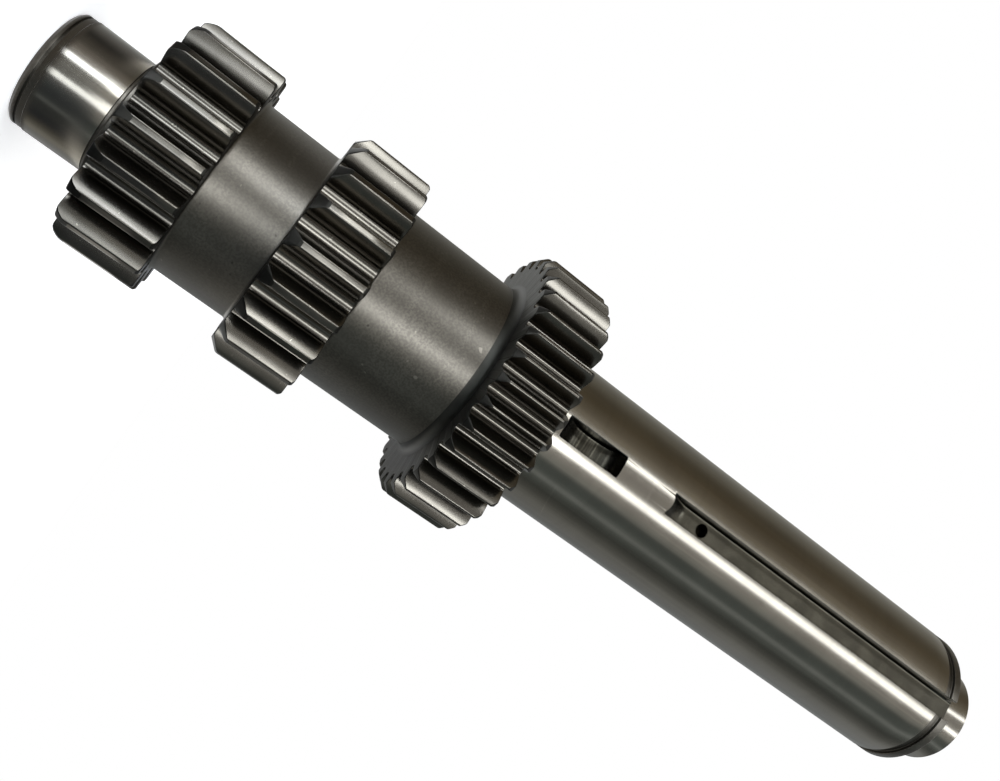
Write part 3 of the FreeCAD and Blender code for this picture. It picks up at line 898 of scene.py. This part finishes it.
# Cards round the shaft, and strips of light that carry the front bars on over the floor.
# A span is the distances from the shaft's skin between which a card lies, in metres, and one with
# a height stands there as a wall. Shades are given at azimuths from the camera's own, as a grey
# or as red, green and blue, and only the metal shows them.
CARDS = {
    # The ring next to the skin is a painted shadow: the metal mirrors it as the shade on the floor
    # round the shaft's foot.
    "painted_shadow_ring": {"span": (0.004, 0.027), "shades": (
        (-180, 0.3), (-40, (0.22, 0.2, 0.18)), (40, (0.14, 0.15, 0.16)),
        (180, 0.3),
    )},
    "front_strip": {"span": (0.027, 1.3), "shades": (
        (-2.5, (6.3, 6.9, 7.7)), (7.5, (6.3, 6.9, 7.7)),
    )},
    "left_strip": {"span": (0.027, 0.9), "shades": (
        (-42, (13.5, 14.8, 17)), (-32.5, (13.5, 14.8, 17)),
    )},
    "left_strip_far": {"span": (0.9, 1.3), "shades": (
        (-40, (12, 13, 14.5)), (-28, (13.5, 14.8, 17)),
    )},
    "front_strip_wing": {"span": (0.3, 1.3), "shades": (
        (-11, (2.8, 3, 3.3)), (-2.5, (4.6, 5, 5.6)),
    )},
    "left_strip_wing": {"span": (0.3, 0.9), "shades": (
        (-50, (3.7, 4, 4.4)), (-42, (6.4, 7, 7.8)),
    )},
    "front_mat": {"span": (0.027, 0.3), "shades": (
        (-32.5, (0.82, 0.87, 0.9)), (-2.5, (0.6, 0.64, 0.68)),
    )},
    "front_mat_wide": {"span": (0.3, 0.9), "shades": (
        (-32.5, (1.2, 1.22, 1.2)), (-2.5, (0.8, 0.84, 0.88)),
    )},
    "front_mat_outer": {"span": (0.9, 1.3), "shades": (
        (-28, 3), (-16, 2), (-2.5, (1.2, 1.24, 1.28)),
    )},
    "right_mat": {"span": (0.027, 0.24), "shades": (
        (6, (0.6, 0.65, 0.7)), (12, (0.34, 0.38, 0.42)), (20, (0.2, 0.24, 0.27)),
        (33, (0.13, 0.15, 0.18)), (45, (0.17, 0.2, 0.22)), (50, (0.46, 0.52, 0.56)),
        (55, (0.15, 0.17, 0.18)), (85, (0.08, 0.09, 0.11)), (100, (0.25, 0.25, 0.23)),
        (118, (0.7, 0.7, 0.66)), (135, (0.5, 0.52, 0.53)), (158, 0.45),
        (166, 0.1), (180, 0.06),
    )},
    "left_mat": {"span": (0.027, 0.24), "shades": (
        (-180, 0.1), (-174, (0.5, 0.52, 0.5)), (-160, (0.6, 0.62, 0.6)),
        (-123, 0.4), (-99, 0.11), (-86, (0.2, 0.19, 0.18)),
        (-74, (0.3, 0.29, 0.27)), (-62, (0.6, 0.57, 0.55)), (-52, (1.1, 1.05, 1.05)),
    )},
    "right_mat_wide": {"span": (0.24, 0.9), "shades": (
        (6, (0.6, 0.65, 0.7)), (12, (0.34, 0.38, 0.42)), (20, (0.2, 0.24, 0.27)),
        (33, (0.15, 0.17, 0.2)), (50, (0.35, 0.39, 0.42)), (70, (0.6, 0.62, 0.64)),
        (90, (1.2, 1.22, 1.22)), (118, (2, 2.02, 2)), (150, (1.6, 1.62, 1.6)),
        (165, 0.5), (180, 0.3),
    )},
    "left_mat_wide": {"span": (0.24, 0.9), "shades": (
        (-180, 0.4), (-168, (1, 1.02, 1)), (-150, (1.9, 1.92, 1.9)),
        (-123, (1.8, 1.8, 1.78)),
        (-95, (0.7, 0.7, 0.68)), (-74, (0.4, 0.39, 0.37)), (-62, (0.6, 0.57, 0.55)),
        (-52, (1.1, 1.05, 1.05)),
    )},
    "right_mat_outer": {"span": (0.9, 1.6), "shades": (
        (6, (0.6, 0.65, 0.7)), (12, (0.32, 0.36, 0.4)), (20, (0.16, 0.19, 0.22)),
        (33, (0.06, 0.07, 0.08)), (50, (0.06, 0.07, 0.08)), (85, (0.05, 0.05, 0.06)),
        (100, 0.07), (118, 0.12), (150, 0.14),
        (180, 0.16),
    )},
    "left_mat_outer": {"span": (0.9, 1.6), "shades": (
        (-180, 0.6), (-160, (0.6, 0.62, 0.6)), (-123, 0.36),
        (-99, 0.11), (-86, (0.18, 0.17, 0.16)), (-74, (0.28, 0.27, 0.25)),
        (-62, (0.5, 0.48, 0.46)), (-40, (1, 0.98, 0.96)),
    )},
    "right_wall": {"span": (1.6, 1.6), "height": 3.2, "shades": (
        (20, (0.9, 0.93, 0.93)), (27, (0.9, 0.95, 0.96)), (34, (0.26, 0.31, 0.32)),
        (50, (0.31, 0.37, 0.38)), (56, (0.8, 0.89, 0.95)), (62, (0.36, 0.42, 0.43)),
        (75, (0.18, 0.2, 0.2)), (90, (0.34, 0.36, 0.36)), (105, (0.59, 0.62, 0.63)),
        (124, (0.5, 0.52, 0.53)), (140, (0.34, 0.36, 0.36)), (180, 0.25),
    )},
    "left_wall": {"span": (1.6, 1.6), "height": 3.2, "shades": (
        (-180, (0.3, 0.3, 0.28)), (-145, (0.4, 0.39, 0.35)), (-118, (0.4, 0.38, 0.32)),
        (-100, (0.28, 0.245, 0.185)), (-82, (0.32, 0.27, 0.19)), (-64, (0.51, 0.46, 0.37)),
        (-50, (0.85, 0.8, 0.69)), (-46, (1, 0.95, 0.9)),
    )},
}


def outwards(azimuth):
    """Unit vector from the axis towards an azimuth in degrees: 0 is -Y and 90 is +X."""
    turn = math.radians(azimuth)
    return Vector((math.sin(turn), -math.cos(turn), 0))


# The bars' distance from the axis and their cool tint, and how far a card lies over the floor.
BAR_DISTANCE = 1.3
BAR_TINT = (0.94, 1.0, 1.09)
CARD_LIFT = 0.001
# Floor: its radius in metres, and its own glow where the camera or the metal sees it.
FLOOR_RADIUS = 40
FLOOR_GLOW = 0.4


def add_light_bar(name, azimuth, foot, width, length, radiance):
    """An upright rectangle that faces the shaft. Its power is radiance times pi times area."""
    lamp = bpy.data.lights.new(name, "AREA")
    lamp.shape = "RECTANGLE"
    lamp.size, lamp.size_y = width, length
    lamp.energy = radiance * math.pi * width * length
    lamp.color = BAR_TINT
    bar = bpy.data.objects.new(name, lamp)
    bpy.context.scene.collection.objects.link(bar)
    away = outwards(azimuth)
    up = Vector((0, 0, 1))
    turned = Matrix((up.cross(away), up, away)).transposed().to_4x4()
    middle = away * BAR_DISTANCE + up * (foot + length / 2)
    bar.matrix_world = Matrix.Translation(middle) @ turned
    bar.visible_camera = False


def add_card(name, span, shades, camera, height=0, skin=0.025, columns=90):
    """A sheet of straight columns that fan out from the shaft, flat on the floor or upright.

    A column leaves the shaft's skin at half its azimuth from the camera, which is where the
    camera sees that azimuth mirrored, and runs between two distances from the skin.
    """
    stops = np.array([stop for stop, _ in shades], float)
    turn = np.linspace(stops[0], stops[-1], columns)
    colour = np.array([np.broadcast_to(shade, 3) for _, shade in shades], float)
    shade = np.stack([np.interp(turn, stops, colour[:, channel]) for channel in range(3)], axis=1)
    half, whole = camera + np.radians(turn / 2), camera + np.radians(turn)
    start = skin * np.stack([np.sin(half), -np.cos(half)], axis=1)
    fan = np.stack([np.sin(whole), -np.cos(whole)], axis=1)
    levels = (0, height) if height else (CARD_LIFT, CARD_LIFT)
    edges = [np.column_stack([start + fan * reach, np.full(columns, level)])
             for reach, level in zip(span, levels)]
    index = np.arange(columns - 1)
    faces = np.stack([index, index + 1, index + columns + 1, index + columns], axis=1)
    mesh = bpy.data.meshes.new(name)
    mesh.from_pydata(np.concatenate(edges).tolist(), [], faces.tolist())
    paint = mesh.color_attributes.new("shade", "FLOAT_COLOR", "POINT")
    shade = np.column_stack([shade, np.ones(columns)])
    paint.data.foreach_set("color", np.tile(shade, (2, 1)).astype(np.float32).ravel())
    material = bpy.data.materials.new(name)
    material.use_nodes = True
    tree = material.node_tree
    tree.nodes.remove(tree.nodes["Principled BSDF"])
    glow = tree.nodes.new("ShaderNodeEmission")
    read = tree.nodes.new("ShaderNodeAttribute")
    read.attribute_name = "shade"
    tree.links.new(read.outputs["Color"], glow.inputs["Color"])
    tree.links.new(glow.outputs[0], tree.nodes["Material Output"].inputs[0])
    mesh.materials.append(material)
    card = bpy.data.objects.new(name, mesh)
    bpy.context.scene.collection.objects.link(card)
    card.visible_camera = card.visible_diffuse = card.visible_shadow = False


def seen_directly(tree):
    """1 for what the camera sees itself, in metal or through glass, and 0 for light on the way."""
    path = tree.nodes.new("ShaderNodeLightPath")
    seen = path.outputs["Is Camera Ray"]
    for ray in ("Is Glossy Ray", "Is Transmission Ray"):
        either = tree.nodes.new("ShaderNodeMath")
        either.operation = "MAXIMUM"
        tree.links.new(seen, either.inputs[0])
        tree.links.new(path.outputs[ray], either.inputs[1])
        seen = either.outputs[0]
    return seen


def add_floor(studio):
    """A pale round floor under the shaft."""
    turn = np.linspace(0, 2 * math.pi, 128, endpoint=False)
    rim = np.stack([np.cos(turn), np.sin(turn), np.zeros(len(turn))], axis=1) * FLOOR_RADIUS
    mesh = bpy.data.meshes.new("floor")
    mesh.from_pydata(rim.tolist(), [], [list(range(len(turn)))])
    material = bpy.data.materials.new("pale_floor")
    material.use_nodes = True
    surface = material.node_tree.nodes["Principled BSDF"]
    surface.inputs["Base Color"].default_value = (*studio.floor, 1)
    surface.inputs["Roughness"].default_value = 0.9
    surface.inputs["Specular IOR Level"].default_value = 0.1
    surface.inputs["Emission Color"].default_value = (1, 1, 1, 1)
    seen = seen_directly(material.node_tree)
    lift = material.node_tree.nodes.new("ShaderNodeMath")
    lift.operation = "MULTIPLY"
    lift.inputs[1].default_value = FLOOR_GLOW
    material.node_tree.links.new(seen, lift.inputs[0])
    material.node_tree.links.new(lift.outputs[0], surface.inputs["Emission Strength"])
    mesh.materials.append(material)
    floor = bpy.data.objects.new("floor", mesh)
    bpy.context.scene.collection.objects.link(floor)


def add_world(scene):
    """Even light from all round, and a white background for the camera and for reflections."""
    world = bpy.data.worlds.new("studio_light")
    scene.world = world
    world.use_nodes = True
    tree = world.node_tree
    light = tree.nodes["Background"]
    light.inputs["Color"].default_value = (1, 1, 1, 1)
    light.inputs["Strength"].default_value = 0.8
    white = tree.nodes.new("ShaderNodeBackground")
    white.inputs["Color"].default_value = (1, 1, 1, 1)
    white.inputs["Strength"].default_value = 1.0
    mixed = tree.nodes.new("ShaderNodeMixShader")
    tree.links.new(seen_directly(tree), mixed.inputs[0])
    tree.links.new(light.outputs[0], mixed.inputs[1])
    tree.links.new(white.outputs[0], mixed.inputs[2])
    tree.links.new(mixed.outputs[0], tree.nodes["World Output"].inputs[0])


def add_camera(scene, studio):
    """The photograph's view: low beside the journal, looking up along the shaft and rolled.

    Forwards points at the axis and up by the tilt. In the picture the shaft runs along one
    direction, below the horizontal by the roll, and square to it lies the shaft's right side.
    """
    lens_and_sensor = bpy.data.cameras.new("camera")
    lens_and_sensor.lens = studio.lens
    lens_and_sensor.sensor_width = 36
    lens_and_sensor.clip_start, lens_and_sensor.clip_end = 0.01, 100
    camera = bpy.data.objects.new("camera", lens_and_sensor)
    scene.collection.objects.link(camera)
    away = outwards(math.degrees(studio.around))
    up = Vector((0, 0, 1))
    aside = up.cross(away)
    forwards = -away * math.cos(studio.tilt) + up * math.sin(studio.tilt)
    forwards = (forwards - aside * math.tan(studio.aside)).normalized()
    along = (up - forwards * up.dot(forwards)).normalized()
    across = forwards.cross(along)
    right = along * math.cos(studio.roll) - across * math.sin(studio.roll)
    top = -along * math.sin(studio.roll) - across * math.cos(studio.roll)
    turned = Matrix((right, top, -forwards)).transposed().to_4x4()
    place_at = away * studio.distance + up * studio.height
    camera.matrix_world = Matrix.Translation(place_at) @ turned
    scene.camera = camera


class CountershaftPanel(Panel):
    """Lists the pieces and the stage in the sidebar."""

    bl_idname = "VIEW3D_PT_countershaft"
    bl_label = "Countershaft"
    bl_space_type = "VIEW_3D"
    bl_region_type = "UI"
    bl_category = "Countershaft"

    def draw(self, context):
        layout = self.layout
        for name in SETTINGS:
            box = layout.box()
            group = getattr(context.scene, name)
            for key in group.__annotations__:
                box.prop(group, key)
        layout.operator(CountershaftTurned.bl_idname)
        for name in GEARS:
            button = layout.operator(CountershaftGear.bl_idname, text=name.replace("_", " "))
            button.gear = name
        layout.operator(CountershaftStage.bl_idname)


SETTINGS = {
    "turned_sizes": TurnedSizes,
    "slot_sizes": SlotSizes,
    "finishes": Finishes,
    "studio": Studio,
}
CLASSES = (
    TurnedSizes,
    SlotSizes,
    Finishes,
    Studio,
    CountershaftTurned,
    CountershaftGear,
    CountershaftStage,
    CountershaftPanel,
)


def register():
    for kind in CLASSES:
        bpy.utils.register_class(kind)
    for name, group in SETTINGS.items():
        setattr(bpy.types.Scene, name, PointerProperty(type=group))


def unregister():
    for name in SETTINGS:
        delattr(bpy.types.Scene, name)
    for kind in reversed(CLASSES):
        bpy.utils.unregister_class(kind)


def main():
    register()
    bpy.ops.countershaft.add_turned()
    for name in GEARS:
        bpy.ops.countershaft.add_gear(gear=name)
    bpy.ops.countershaft.add_stage()


if __name__ == "__main__":
    main()
